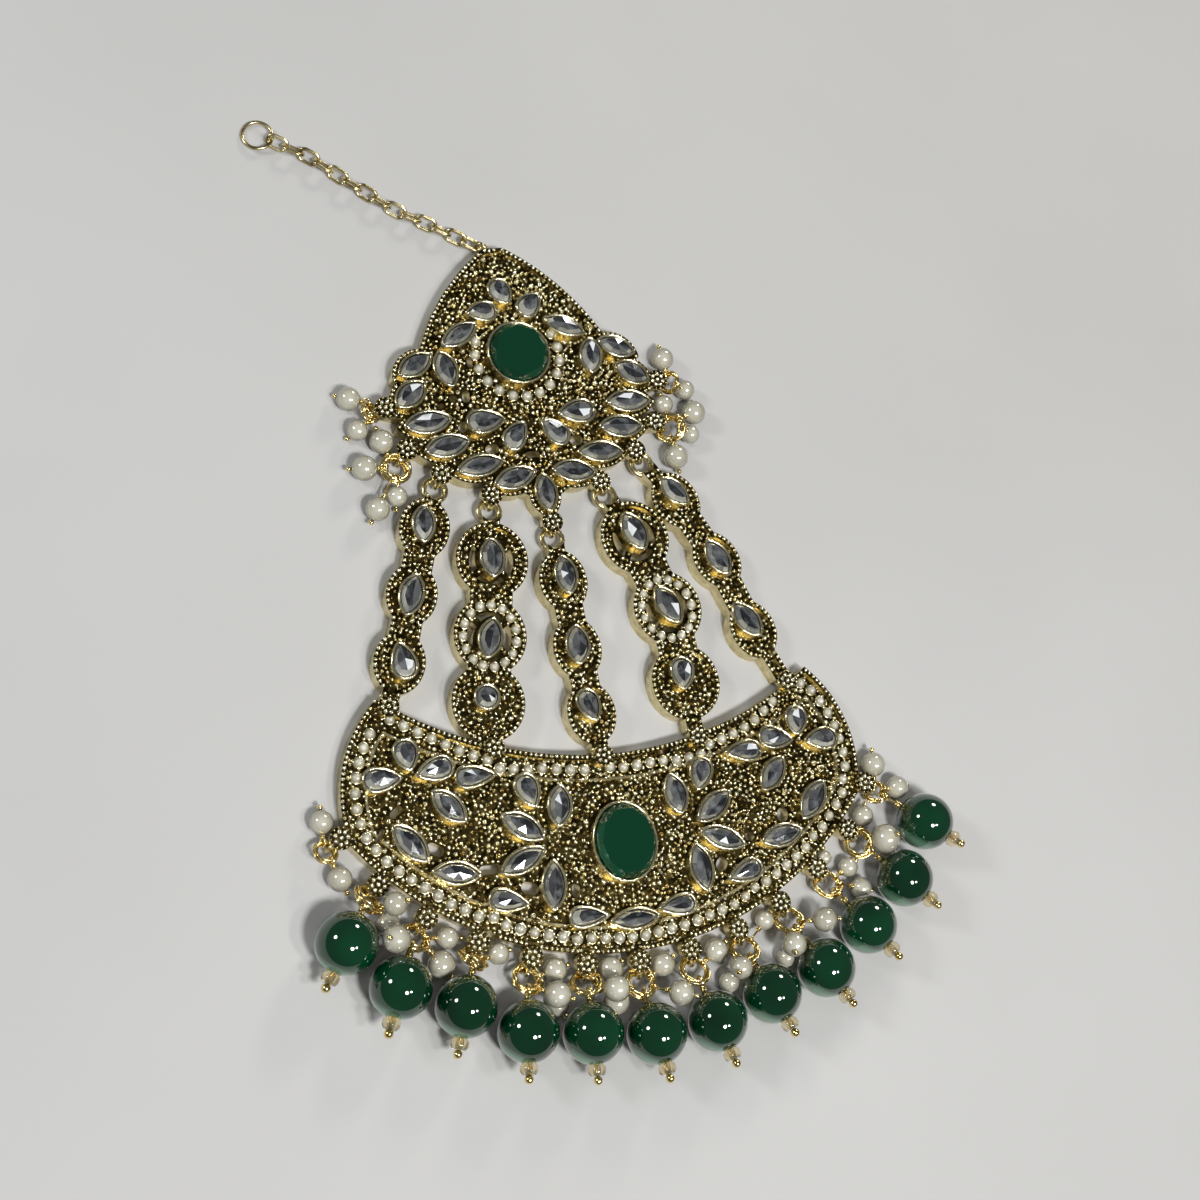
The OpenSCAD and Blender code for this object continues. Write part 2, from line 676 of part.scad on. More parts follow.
// The two upper lobes of a wide strand are open round the stone, in four gaps
frame_gap = 1.0;
module lobe_gaps_2d(i, n) {
  stone = stones_of(i)[n];
  difference() {
    lobe_2d(i, n, -2);
    outline_2d(stone, seat_gap + bezel_w + 0.35);
    translate(strand_table[i][n])
      rotate(lobe_turn(i, n)) {
        rotate(45) square([frame_gap, 14], center = true);
        rotate(-45) square([frame_gap, 14], center = true);
      }
  }
}

module strand(i) {
  rows = stones_of(i);
  color(antique_gold) {
    difference() {
      union() {
        difference() {
          union() {
            linear_extrude(plate_t) strand_outline_2d(i);
            raised(rail_h)
              difference() {
                strand_outline_2d(i);
                strand_outline_2d(i, rail_w);
              }
          }
          stone_floors(rows);
        }
        bezel_walls(rows);
      }
      if (strand_table[i][WIDE])
        translate([0, 0, -1]) linear_extrude(plate_t + 3) for (n = [0:1]) lobe_gaps_2d(i, n);
      translate(lift(eye_spot(i), -1)) cylinder(h = 6, r = eye_r);
      translate(lift(foot_eye_spot(i), -1)) cylinder(h = 6, r = foot_eye_r);
    }
    translate(lift(eye_spot(i), eye_z)) wire_ring(eye_r, eye_wire);
    translate(lift(foot_eye_spot(i), foot_z)) wire_ring(foot_eye_r, foot_eye_wire);
  }
}

module strand_kundan(i) {
  color(clear_stone) stone_field(stones_of(i));
}

// Chain of oval links, each turned about the chain's line against the one before
chain_ear = lift(chain_points[0], ear_z);
chain_steps = [for (i = [0:len(chain_points) - 2]) norm(chain_points[i + 1] - chain_points[i])];
function walked(i) = i <= 0 ? 0 : chain_steps[i - 1] + walked(i - 1);
link_slack = 0.1;
link_pitch = link_l - 2 * link_wire - link_slack;
link_count = round(walked(len(chain_steps)) / link_pitch);
function link_walk(j) = (link_l - link_wire) / 2 + link_slack + j * link_pitch;
function chain_spot(s, i = 0) = i == len(chain_steps) - 1 || s <= walked(i + 1)
  ? chain_points[i] + (s - walked(i)) / chain_steps[i] * (chain_points[i + 1] - chain_points[i])
  : chain_spot(s, i + 1);
function link_z(j) = j == 0 ? (ear_z + chain_z) / 2 : chain_z;
function link_roll(j) = j == 0 ? 20 : j % 2 == 0 ? 42 : -48;

module chain_link() {
  bend = (link_w - link_wire) / 2;
  straight = link_l - link_w;
  for (s = [0, 180])
    rotate(s) {
      translate([straight / 2, 0, 0])
        rotate(-90) rotate_extrude(angle = 180, $fn = 32) translate([bend, 0]) circle(d = link_wire, $fn = 16);
      translate([-straight / 2, bend, 0]) rotate([0, 90, 0]) cylinder(h = straight, d = link_wire, $fn = 16);
    }
}

module chain() {
  color(antique_gold)
    for (j = [0:link_count - 1]) {
      s = link_walk(j);
      translate(lift(chain_spot(s), link_z(j)))
        rotate([0, 0, bearing(chain_spot(s - 1), chain_spot(s + 1))]) rotate([link_roll(j), 0, 0]) chain_link();
    }
}

// The ring hangs in the last link and droops to the ground at its far side
module end_ring() {
  s = link_walk(link_count - 1);
  r = (end_ring_d - link_wire) / 2;
  hold = s + link_l / 2 - 1.5 * link_wire - link_slack;
  droop = asin((chain_z - link_wire / 2) / (2 * r));
  color(antique_gold)
    translate(lift(chain_spot(hold), chain_z))
      rotate([0, 0, bearing(chain_spot(s - 1), chain_spot(s + 1))]) rotate([0, droop, 0])
        translate([r, 0, 0]) wire_ring(r, link_wire);
}

module jump_rings() {
  color(bright_gold) for (k = lower_lugs) jump_ring(drop_station(k));
}

module side_rings() {
  color(bright_gold) for (row = side_stations) jump_ring(side_station(row));
}

module bead_pins() {
  color(bright_gold) for (i = [0:11]) bead_pin(i);
}

module drop_pearls() {
  color(pearl_white) for (row = drop_pearl_table) pearl(drop_station(row[LUG]), row);
}

module drop_pearl_pins() {
  color(bright_gold) for (row = drop_pearl_table) pearl_pin(drop_station(row[LUG]), row);
}

module side_pearls() {
  color(pearl_white)
    for (row = side_pearl_table) pearl(side_station(side_stations[row[LUG]]), row);
}

module side_pearl_pins() {
  color(bright_gold)
    for (row = side_pearl_table) pearl_pin(side_station(side_stations[row[LUG]]), row);
}

translate([-middle.x, -middle.y, 0]) {
  top_plate();
  top_stone();
  top_kundan();
  crescent_plate();
  crescent_stone();
  crescent_kundan();
  for (i = [0:4]) {
    strand(i);
    strand_kundan(i);
  }
  for (i = [0:11])
    green_bead(i);
  bead_pins();
  jump_rings();
  drop_pearls();
  drop_pearl_pins();
  side_rings();
  side_pearls();
  side_pearl_pins();
  chain();
  end_ring();
}
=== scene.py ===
"""Looks of a passa jhoomar: cast gold full of grains, foiled glass stones, pearls and green beads."""

import functools
import math
import random

import bpy
import numpy as np
from mathutils import Matrix, Vector
from mathutils.bvhtree import BVHTree


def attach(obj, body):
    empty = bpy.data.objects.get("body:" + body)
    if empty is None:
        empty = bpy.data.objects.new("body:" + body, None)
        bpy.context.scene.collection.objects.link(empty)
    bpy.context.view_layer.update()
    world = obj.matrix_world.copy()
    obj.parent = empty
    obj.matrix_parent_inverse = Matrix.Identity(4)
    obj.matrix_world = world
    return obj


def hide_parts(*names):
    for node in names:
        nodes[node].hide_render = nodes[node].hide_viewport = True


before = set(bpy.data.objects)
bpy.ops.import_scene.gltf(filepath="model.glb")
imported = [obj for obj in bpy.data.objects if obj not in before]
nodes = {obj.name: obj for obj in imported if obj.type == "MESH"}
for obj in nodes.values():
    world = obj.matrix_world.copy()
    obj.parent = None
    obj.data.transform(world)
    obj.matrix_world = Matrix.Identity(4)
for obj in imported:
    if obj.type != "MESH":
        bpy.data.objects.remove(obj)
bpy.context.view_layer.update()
rng = random.Random(7)

# Sizes in millimetres; the frame is in metres
MM = 0.001
UP = Vector((0, 0, 1))

# The castings, and the nodes of their stones and beads
PLATES = ["top_plate", "crescent_plate"] + [f"strand_{i}" for i in range(1, 6)]
CLEAR_STONES = [name for name in nodes if name.endswith("kundan") or name.startswith("strand_stones")]
GREEN_STONES = ["top_stone", "crescent_stone"]
GREEN_BEADS = sorted(name for name in nodes if name.startswith("green_bead"))

# Heights of the castings' floors, rails, lug caps and bezels
FLOOR_Z = 2.0
RAIL_Z = 2.5
CAP_Z = 3.0
BEZEL_TOP = 3.2

# Width of a rail, and the way from a stone's edge to the middle of its bezel
RAIL_W = 0.7
BEZEL_OFF = 0.27


# Reading the frame
class Surface:
    """A CAD node's mesh in millimetres, with a ray cast down onto it."""

    SKY = 30

    def __init__(self, name):
        mesh = nodes[name].data
        mesh.calc_loop_triangles()
        co = np.zeros(len(mesh.vertices) * 3, np.float32)
        mesh.vertices.foreach_get("co", co)
        tri = np.zeros(len(mesh.loop_triangles) * 3, np.int32)
        mesh.loop_triangles.foreach_get("vertices", tri)
        rounded = np.round(co.reshape(-1, 3) / MM, 3)
        self.points, index = np.unique(rounded, axis=0, return_inverse=True)
        self.triangles = index.reshape(-1)[tri.reshape(-1, 3)]
        a, b, c = (self.points[self.triangles[:, k]] for k in range(3))
        cross = np.cross(b - a, c - a)
        size = np.linalg.norm(cross, axis=1)
        keep = size > 1e-9
        self.triangles, self.normals = self.triangles[keep], cross[keep] / size[keep, None]
        self.tree = BVHTree.FromPolygons(self.points.tolist(), self.triangles.tolist())

    def height(self, x, y):
        """Height of the top surface at a place, or None beside the node."""
        hit = self.tree.ray_cast(Vector((x, y, self.SKY)), -UP)[0]
        return None if hit is None else hit.z

    def height_near(self, x, y, level, reach):
        """Height of the top surface where it is within reach of a level, or None."""
        height = self.height(x, y)
        return height if height is not None and abs(height - level) < reach else None

    def flat_faces(self, level, tolerance=0.03, upright=0.9):
        """The triangles that face up at one level."""
        z = self.points[self.triangles][:, :, 2]
        flat = np.abs(z - level).max(1) < tolerance
        return self.triangles[flat & (self.normals[:, 2] > upright)]

    def islands(self, triangles=None):
        """The points of each separate group of triangles."""
        triangles = self.triangles if triangles is None else triangles
        parent = {int(i): int(i) for i in np.unique(triangles)}

        def root(i):
            while parent[i] != i:
                parent[i] = parent[parent[i]]
                i = parent[i]
            return i

        for a, b, c in triangles.tolist():
            parent[root(b)] = root(a)
            parent[root(c)] = root(a)
        groups = {}
        for i in parent:
            groups.setdefault(root(i), []).append(i)
        return [self.points[g] for g in groups.values()]

    def edge_loops(self, level):
        """Closed outlines of the faces at one level, with the faces on the left."""
        edges = {}
        for a, b, c in self.flat_faces(level).tolist():
            for e in ((a, b), (b, c), (c, a)):
                edges[e] = edges.get(e, 0) + 1
        free = {}
        for a, b in edges:
            if (b, a) not in edges:
                free.setdefault(a, []).append(b)
        loops = []
        while free:
            start = next(iter(free))
            loop, here = [start], start
            while here in free:
                after = free[here].pop()
                if not free[here]:
                    del free[here]
                here = after
                if here == start:
                    break
                loop.append(here)
            if len(loop) > 2:
                loops.append(self.points[loop][:, :2])
        return loops

    def rim(self, inset, pitch, probe=0.15, low=0.3):
        """Places along the node's outer edge, a distance inside it.

        The edge is an outer one where nothing higher than low is met a probe's length outside it.
        """
        found = []
        for loop in self.edge_loops(RAIL_Z):
            closed = np.vstack([loop, loop[:1]])
            step = np.linalg.norm(np.diff(closed, axis=0), axis=1)
            along = np.concatenate([[0], np.cumsum(step)])
            count = int(along[-1] / pitch)
            if count < 3:
                continue
            for s in np.linspace(0, along[-1], count, endpoint=False):
                k = min(np.searchsorted(along, s, "right") - 1, len(step) - 1)
                if step[k] < 1e-6:
                    continue
                way = (closed[k + 1] - closed[k]) / step[k]
                spot = closed[k] + way * (s - along[k])
                left = np.array([-way[1], way[0]])
                outside = self.height(*(spot - probe * left))
                if outside is None or outside < low:
                    found.append(spot + inset * left)
        return found

    def border(self, origin, reach=60.0, step=0.1, count=720, lug=3.4, tolerance=0.06):
        """The outline as seen from a point inside it, with lugs and pockets smoothed away."""
        turns = np.linspace(0, math.tau, count, endpoint=False)
        ways = np.array([(math.cos(a), math.sin(a)) for a in turns])
        radii = []
        for way in ways:
            r = reach
            while r > step and self.height_near(*(origin + r * way), RAIL_Z, tolerance) is None:
                r -= step
            radii.append(r)
        smooth = []
        for k, r in enumerate(radii):
            side = int(lug / max(r, lug) / math.tau * count)
            window = [radii[(k + j) % count] for j in range(-side, side + 1)]
            smooth.append(float(np.median(window)))
        return np.array(smooth), ways

    def inner_path(self, origin, inset, pitch, step=0.05):
        """Places a pitch apart on the line that runs a distance inside the border."""
        radii, ways = self.border(origin)
        edge = origin + radii[:, None] * ways
        path = np.full_like(edge, np.nan)
        for back in np.arange(inset, 4 * inset, step):
            spot = origin + (radii - back)[:, None] * ways
            far = np.linalg.norm(spot[:, None] - edge[None], axis=2).min(1) >= inset
            fresh = far & np.isnan(path[:, 0])
            path[fresh] = spot[fresh]
        path = path[~np.isnan(path[:, 0])]
        closed = np.vstack([path, path[:1]])
        along = np.concatenate([[0], np.cumsum(np.linalg.norm(np.diff(closed, axis=0), axis=1))])
        stops = np.linspace(0, along[-1], round(along[-1] / pitch), endpoint=False)
        return np.stack([np.interp(stops, along, closed[:, k]) for k in range(2)], 1)


surface = {name: Surface(name) for name in PLATES}


@functools.cache
def solids_of(name):
    """The points of each separate solid of a node."""
    return Surface(name).islands()


def spread(spots, gap):
    """Drops a spot that stands too near the ones kept before it."""
    kept = []
    for spot in spots:
        if all(np.hypot(*(spot - other)) > gap for other in kept):
            kept.append(spot)
    return kept


# Small shapes that joined meshes are made from, each as its points and faces
def lathe(profile, segments):
    """Turns (radius, height) pairs about Z; a radius of zero closes an end in a point."""
    points, rows = [], []
    for r, z in profile:
        count = 1 if r < 1e-6 else segments
        rows.append(list(range(len(points), len(points) + count)))
        points += [(r * math.cos(math.tau * k / segments), r * math.sin(math.tau * k / segments), z)
                   for k in range(count)]
    faces = []
    for low, high in zip(rows, rows[1:]):
        for k in range(segments):
            quad = [low[k % len(low)], low[(k + 1) % len(low)],
                    high[(k + 1) % len(high)], high[k % len(high)]]
            face = [p for i, p in enumerate(quad) if p not in quad[:i]]
            if len(face) > 2:
                faces.append(face)
    return np.array(points), faces
def ball(segments, rows):
    """A ball of radius 1."""
    turns = [math.pi * (k / rows - 0.5) for k in range(rows + 1)]
    return lathe([(math.cos(t), math.sin(t)) for t in turns], segments)


def dome(segments, rows):
    """Half a ball of radius 1 on the XY plane."""
    turns = [math.pi / 2 * k / rows for k in range(rows + 1)]
    return lathe([(math.cos(t), math.sin(t)) for t in turns], segments)


def section(centre, side, wire, sides):
    """The points round a wire of one radius, where side is the level way across it."""
    turns = [math.tau * k / sides for k in range(sides)]
    return [centre + wire * (math.cos(t) * side + math.sin(t) * np.array([0, 0, 1])) for t in turns]


def tube(path, wire, sides=6):
    """A closed wire along level points."""
    path = np.array(path, float)
    ahead = np.roll(path, -1, 0) - np.roll(path, 1, 0)
    across = np.stack([ahead[:, 1], -ahead[:, 0], 0 * ahead[:, 0]], 1)
    across /= np.linalg.norm(across, axis=1)[:, None]
    points = [p for centre, side in zip(path, across) for p in section(centre, side, wire, sides)]
    n = len(path)
    faces = []
    for i in range(n):
        for k in range(sides):
            here, after = i * sides, (i + 1) % n * sides
            beside = (k + 1) % sides
            faces.append([here + k, after + k, after + beside, here + beside])
    return np.array(points), faces


def wire_loop(wire, segments, sides):
    """A ring of radius 1 in the XY plane."""
    turns = [math.tau * k / segments for k in range(segments)]
    return tube([(math.cos(t), math.sin(t), 0) for t in turns], wire, sides)


def helix(wire, turns, rise, sides=6, steps=14):
    """A coil of radius 1 about Z, from height 0 to rise."""
    points, faces = [], []
    total = int(turns * steps)
    for i in range(total + 1):
        a = math.tau * i / steps
        out = np.array([math.cos(a), math.sin(a), 0])
        points += section(out + np.array([0, 0, rise * i / total]), out, wire, sides)
    for i in range(total):
        for k in range(sides):
            a, b = i * sides + k, i * sides + (k + 1) % sides
            faces.append([a, b, b + sides, a + sides])
    faces += [list(range(sides))[::-1], [total * sides + k for k in range(sides)]]
    return np.array(points), faces


class Batch:
    """Copies of small shapes joined into one piece, with a tone for each copy."""

    def __init__(self, name, material, slot, smooth=True):
        self.name, self.material, self.slot, self.smooth = name, material, slot, smooth
        self.points, self.faces, self.tones, self.count = [], [], [], 0

    def add(self, shape, matrix, tone=0.5):
        """A copy of a shape, where a matrix puts it."""
        points, faces = shape
        m = np.array(matrix)
        self.points.append(points @ m[:3, :3].T + m[:3, 3])
        self.faces += [[i + self.count for i in face] for face in faces]
        self.tones.append(np.full(len(points), tone))
        self.count += len(points)

    def add_facets(self, points, faces, tones):
        """Faces with points of their own, so that each keeps one tone."""
        for face, tone in zip(faces, tones):
            self.points.append(np.array([points[i] for i in face]))
            self.faces.append(list(range(self.count, self.count + len(face))))
            self.tones.append(np.full(len(face), tone))
            self.count += len(face)

    def build(self, *replaced):
        """Makes the piece, which stands for the named nodes."""
        mesh = bpy.data.meshes.new(self.name)
        mesh.from_pydata((np.concatenate(self.points) * MM).tolist(), [], self.faces)
        mesh.polygons.foreach_set("use_smooth", [self.smooth] * len(self.faces))
        tone = mesh.attributes.new("tone", "FLOAT", "POINT")
        tone.data.foreach_set("value", np.concatenate(self.tones).astype(np.float32))
        mesh.materials.append(self.material)
        piece = bpy.data.objects.new(self.name, mesh)
        bpy.context.scene.collection.objects.link(piece)
        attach(piece, "root")
        if replaced:
            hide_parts(*replaced)
        return piece
def at(x, y, z, size, way=UP, spin=0.0):
    """A copy's matrix: its middle in millimetres, its size, and where its Z axis points."""
    turn = Vector(way).to_track_quat("Z", "Y").to_matrix().to_4x4() @ Matrix.Rotation(spin, 4, "Z")
    return Matrix.Translation((x, y, z)) @ turn @ Matrix.Diagonal((*size, 1))


# Materials
class Nodes:
    """Short calls for the nodes of one material."""

    def __init__(self, name):
        self.material = bpy.data.materials.new(name)
        self.material.use_nodes = True
        self.tree = self.material.node_tree
        self.shader = self.tree.nodes["Principled BSDF"]

    def node(self, kind, **values):
        """A new node; each value is one of its settings, or else the input of that name."""
        made = self.tree.nodes.new(kind)
        for key, value in values.items():
            if hasattr(made, key):
                setattr(made, key, value)
            else:
                made.inputs[key.replace("_", " ")].default_value = value
        return made

    def link(self, a, b):
        self.tree.links.new(a, b)

    def set(self, **values):
        for key, value in values.items():
            self.shader.inputs[key.replace("_", " ")].default_value = value

    def ramp(self, source, stops):
        """The colour for a value, between stops that are each a value and a colour."""
        made = self.node("ShaderNodeValToRGB")
        ramp = made.color_ramp
        while len(ramp.elements) < len(stops):
            ramp.elements.new(0.5)
        for element, (spot, colour) in zip(ramp.elements, stops):
            element.position, element.color = spot, (*colour, 1)
        self.link(source, made.inputs["Fac"])
        return made.outputs["Color"]

    def noise(self, scale, detail=2.0):
        coordinates = self.node("ShaderNodeTexCoord")
        made = self.node("ShaderNodeTexNoise", Scale=scale, Detail=detail)
        self.link(coordinates.outputs["Object"], made.inputs["Vector"])
        return made.outputs["Fac"]

    def tone(self):
        """The tone that a batch gave to each of its copies or facets."""
        return self.node("ShaderNodeAttribute", attribute_name="tone").outputs["Fac"]

    def mix(self, factor, a, b):
        """The colours a and b mixed; each is a colour or another node's output."""
        made = self.node("ShaderNodeMix", data_type="RGBA")
        self.link(factor, made.inputs["Factor"])
        colours = [socket for socket in made.inputs if socket.type == "RGBA"]
        for socket, value in zip(colours, (a, b)):
            if isinstance(value, tuple):
                socket.default_value = (*value, 1)
            else:
                self.link(value, socket)
        return next(socket for socket in made.outputs if socket.type == "RGBA")

    def bump(self, height, strength, distance):
        made = self.node("ShaderNodeBump", Strength=strength, Distance=distance)
        self.link(height, made.inputs["Height"])
        self.link(made.outputs["Normal"], self.shader.inputs["Normal"])

    def colour(self, output):
        self.link(output, self.shader.inputs["Base Color"])

    def rough(self, source, low, high):
        """Roughness that follows a value from 0 to 1."""
        made = self.node("ShaderNodeMapRange")
        made.inputs["To Min"].default_value = low
        made.inputs["To Max"].default_value = high
        self.link(source, made.inputs["Value"])
        self.link(made.outputs["Result"], self.shader.inputs["Roughness"])
# Levels that the patina lies on, each with how far from it the patina reaches
PATINA_LEVELS = ((FLOOR_Z, 0.06), (CAP_Z, 0.03), (RAIL_Z, 0.03))
PATINA_SLOPE = 0.1


def cast_gold():
    """Dark patina on the floors, rails and caps between the grains, bright gold on bezels and walls."""
    n = Nodes("cast_gold")
    place = n.node("ShaderNodeTexCoord")
    parts = n.node("ShaderNodeSeparateXYZ")
    n.link(place.outputs["Object"], parts.inputs["Vector"])
    facing = n.node("ShaderNodeNewGeometry")
    normal = n.node("ShaderNodeSeparateXYZ")
    n.link(facing.outputs["Normal"], normal.inputs["Vector"])

    def near(source, value, reach):
        made = n.node("ShaderNodeMath", operation="COMPARE")
        made.inputs[1].default_value = value
        made.inputs[2].default_value = reach
        n.link(source, made.inputs[0])
        return made.outputs["Value"]

    def combined(operation, a, b):
        made = n.node("ShaderNodeMath", operation=operation)
        n.link(a, made.inputs[0])
        n.link(b, made.inputs[1])
        return made.outputs["Value"]

    levels = [near(parts.outputs["Z"], z * MM, reach * MM) for z, reach in PATINA_LEVELS]
    on_level = functools.reduce(functools.partial(combined, "MAXIMUM"), levels)
    patina = combined("MULTIPLY", on_level, near(normal.outputs["Z"], 1.0, PATINA_SLOPE))
    cloud = n.noise(900, 4)
    dark = n.ramp(cloud, [(0.3, (0.020, 0.014, 0.004)), (0.7, (0.13, 0.095, 0.028))])
    light = n.ramp(cloud, [(0.25, (0.44, 0.36, 0.16)), (0.75, (0.88, 0.78, 0.47))])
    n.colour(n.mix(patina, light, dark))
    n.rough(cloud, 0.16, 0.36)
    n.set(Metallic=1.0)
    n.bump(n.noise(2600), 0.3, 0.00008)
    return n.material


def grain_gold():
    """Polished grains, from dark to very bright by the tone of each."""
    n = Nodes("grain_gold")
    n.colour(n.ramp(n.tone(), [(0.0, (0.10, 0.066, 0.018)), (0.35, (0.44, 0.33, 0.12)),
                               (0.7, (0.88, 0.78, 0.46)), (1.0, (1.0, 0.95, 0.74))]))
    n.rough(n.noise(3000), 0.12, 0.24)
    n.set(Metallic=1.0)
    return n.material


def wire_gold():
    """Clean yellow wire."""
    n = Nodes("wire_gold")
    cloud = n.noise(700, 3)
    n.colour(n.ramp(cloud, [(0.3, (0.74, 0.54, 0.17)), (0.7, (0.97, 0.82, 0.42))]))
    n.rough(cloud, 0.1, 0.24)
    n.set(Metallic=1.0)
    return n.material


def chain_gold():
    """The duller gold of the chain."""
    n = Nodes("chain_gold")
    cloud = n.noise(500, 3)
    n.colour(n.ramp(cloud, [(0.3, (0.38, 0.30, 0.13)), (0.7, (0.82, 0.71, 0.42))]))
    n.rough(cloud, 0.16, 0.34)
    n.set(Metallic=1.0)
    return n.material


def pearl_cream():
    """Cream pearl, with a painted dark reflection towards its edge."""
    n = Nodes("pearl_cream")
    cloud = n.noise(260, 3)
    edge = n.node("ShaderNodeLayerWeight", Blend=0.45)
    face = n.ramp(cloud, [(0.3, (0.46, 0.435, 0.345)), (0.7, (0.61, 0.59, 0.49))])
    # Painted reflection: the colour darkens towards the pearl's edge as seen from the camera, for a dark
    # room mirrored in the nacre
    n.colour(n.mix(edge.outputs["Facing"], face, (0.13, 0.115, 0.065)))
    n.rough(cloud, 0.10, 0.18)
    n.set(Metallic=0.25, Coat_Weight=0.9, Coat_Roughness=0.06)
    return n.material
# The side of a green bead where a pale crescent of painted light stands for light that has passed
# through it, and where that patch fades
PAINTED_GLOW_WAY = (-0.45, -0.80, -0.39)
PAINTED_GLOW_EDGE = (0.50, 0.74)


def green_bead():
    """Deep green glass, with painted light: a pale crescent low on its outer side for light that has passed
    through it.
    """
    n = Nodes("green_bead_glass")
    cloud = n.noise(120, 2)
    face = n.ramp(cloud, [(0.3, (0.000, 0.014, 0.004)), (0.7, (0.000, 0.032, 0.010))])
    facing = n.node("ShaderNodeNewGeometry")
    under = n.node("ShaderNodeVectorMath", operation="DOT_PRODUCT")
    under.inputs[1].default_value = PAINTED_GLOW_WAY
    n.link(facing.outputs["Normal"], under.inputs[0])
    painted_glow = n.node("ShaderNodeMapRange")
    painted_glow.inputs["From Min"].default_value = PAINTED_GLOW_EDGE[0]
    painted_glow.inputs["From Max"].default_value = PAINTED_GLOW_EDGE[1]
    n.link(under.outputs["Value"], painted_glow.inputs["Value"])
    # Painted light: the base colour turns pale where the surface faces down and outward
    n.colour(n.mix(painted_glow.outputs["Result"], face, (0.10, 0.20, 0.125)))
    n.rough(cloud, 0.03, 0.07)
    n.set(Coat_Weight=1.0, Coat_Roughness=0.02, IOR=1.52)
    return n.material


def green_stone():
    """Deep green glass, paler on its crown facets."""
    n = Nodes("green_stone_glass")
    n.colour(n.ramp(n.tone(), [(0.0, (0.000, 0.016, 0.006)), (0.5, (0.000, 0.026, 0.010)),
                               (1.0, (0.02, 0.11, 0.055))]))
    n.rough(n.noise(200), 0.05, 0.12)
    n.set(Coat_Weight=0.6, Coat_Roughness=0.03, IOR=1.52)
    return n.material
def foiled_glass():
    """Clear glass over foil, dark to bright by each facet's tone, the brightest a painted glint, with faint
    pale streaks of painted reflection.
    """
    n = Nodes("foiled_glass")
    streak = n.noise(700, 3)
    facet = n.ramp(n.tone(), [(0.0, (0.007, 0.008, 0.009)), (0.3, (0.042, 0.044, 0.048)),
                              (0.55, (0.15, 0.155, 0.15)), (0.8, (0.36, 0.355, 0.30)),
                              (1.0, (0.82, 0.85, 0.88))])
    # Painted reflection: pale streaks mixed in where the noise is high
    share = n.ramp(streak, [(0.5, (0, 0, 0)), (0.75, (0.5, 0.5, 0.5))])
    n.colour(n.mix(share, facet, (0.26, 0.27, 0.285)))
    n.rough(streak, 0.04, 0.12)
    n.set(Metallic=0.15, Coat_Weight=1.0, Coat_Roughness=0.02, IOR=1.6)
    return n.material


def seed_glass():
    """Clear straw-coloured glass."""
    n = Nodes("seed_glass")
    cloud = n.noise(600)
    n.colour(n.ramp(cloud, [(0.3, (0.74, 0.60, 0.33)), (0.7, (0.93, 0.84, 0.60))]))
    n.rough(cloud, 0.0, 0.04)
    n.set(Transmission_Weight=0.92, IOR=1.5)
    return n.material


def studio_floor():
    """A plain pale matt floor."""
    n = Nodes("studio_floor")
    cloud = n.noise(9, 4)
    n.colour(n.ramp(cloud, [(0.3, (0.385, 0.38, 0.37)), (0.7, (0.42, 0.415, 0.405))]))
    n.set(Roughness=0.75)
    return n.material
gold = cast_gold()
grain = grain_gold()
bright = wire_gold()
links = chain_gold()
pearl = pearl_cream()
bead_glass = green_bead()
stone_green = green_stone()
stone_clear = foiled_glass()
seed = seed_glass()

BEAD_PINS = ["bead_pins"]
PEARL_PINS = ["drop_pearl_pins", "side_pearl_pins"]
RINGS = ["jump_rings", "side_rings"]
PEARLS = ["drop_pearls", "side_pearls"]
FINISHES = (
    (PLATES, gold, "antique_gold"),
    (BEAD_PINS + PEARL_PINS + RINGS, bright, "bright_gold"),
    (["chain", "end_ring"], links, "antique_gold"),
    (PEARLS, pearl, "pearl"),
    (CLEAR_STONES, stone_clear, "clear_stone"),
    (GREEN_STONES, stone_green, "green_stone"),
    (GREEN_BEADS, bead_glass, "green_bead"),
)
for names, material, slot in FINISHES:
    for name in names:
        nodes[name].data.materials.clear()
        nodes[name].data.materials.append(material)


# Half pearls in their channels
PEARL_SHAPE = ball(14, 8)
PEARL_LIFT = 0.5
PEARL_VARIETY = (0.94, 1.05)
SEAT_REACH = 0.4
channel_pearls = {name: [] for name in PLATES}


def seat_pearls(name, spots, radius):
    """Half pearls on the floor of a node, where nothing stands."""
    for x, y in spots:
        if surface[name].height_near(x, y, FLOOR_Z, SEAT_REACH) is not None:
            channel_pearls[name].append((x, y, radius * rng.uniform(*PEARL_VARIETY)))


# The channel that runs round the crescent, inside its edge as seen from its heart
CRESCENT_HEART = np.array([-3.9, -39.95])
CHANNEL_INSET = 1.9
CHANNEL_PITCH = 2.0
CHANNEL_GAP = 1.7
channel = surface["crescent_plate"].inner_path(CRESCENT_HEART, CHANNEL_INSET, CHANNEL_PITCH)
seat_pearls("crescent_plate", spread(channel, CHANNEL_GAP), radius=0.66)

# The arc round the top plate's green stone, in degrees from the plate's own tilt
TOP_PEARLS = 13
TOP_ARC = (157, 384)
TOP_TILT = 5.3
TOP_ARC_R = 6.25
top_centre = solids_of("top_stone")[0].mean(0)[:2]
top_arc = []
for k in range(TOP_PEARLS):
    turn = TOP_ARC[0] + (TOP_ARC[1] - TOP_ARC[0]) * k / (TOP_PEARLS - 1)
    angle = math.radians(turn) + math.radians(TOP_TILT)
    top_arc.append(top_centre + TOP_ARC_R * np.array([math.cos(angle), math.sin(angle)]))
seat_pearls("top_plate", top_arc, radius=0.68)

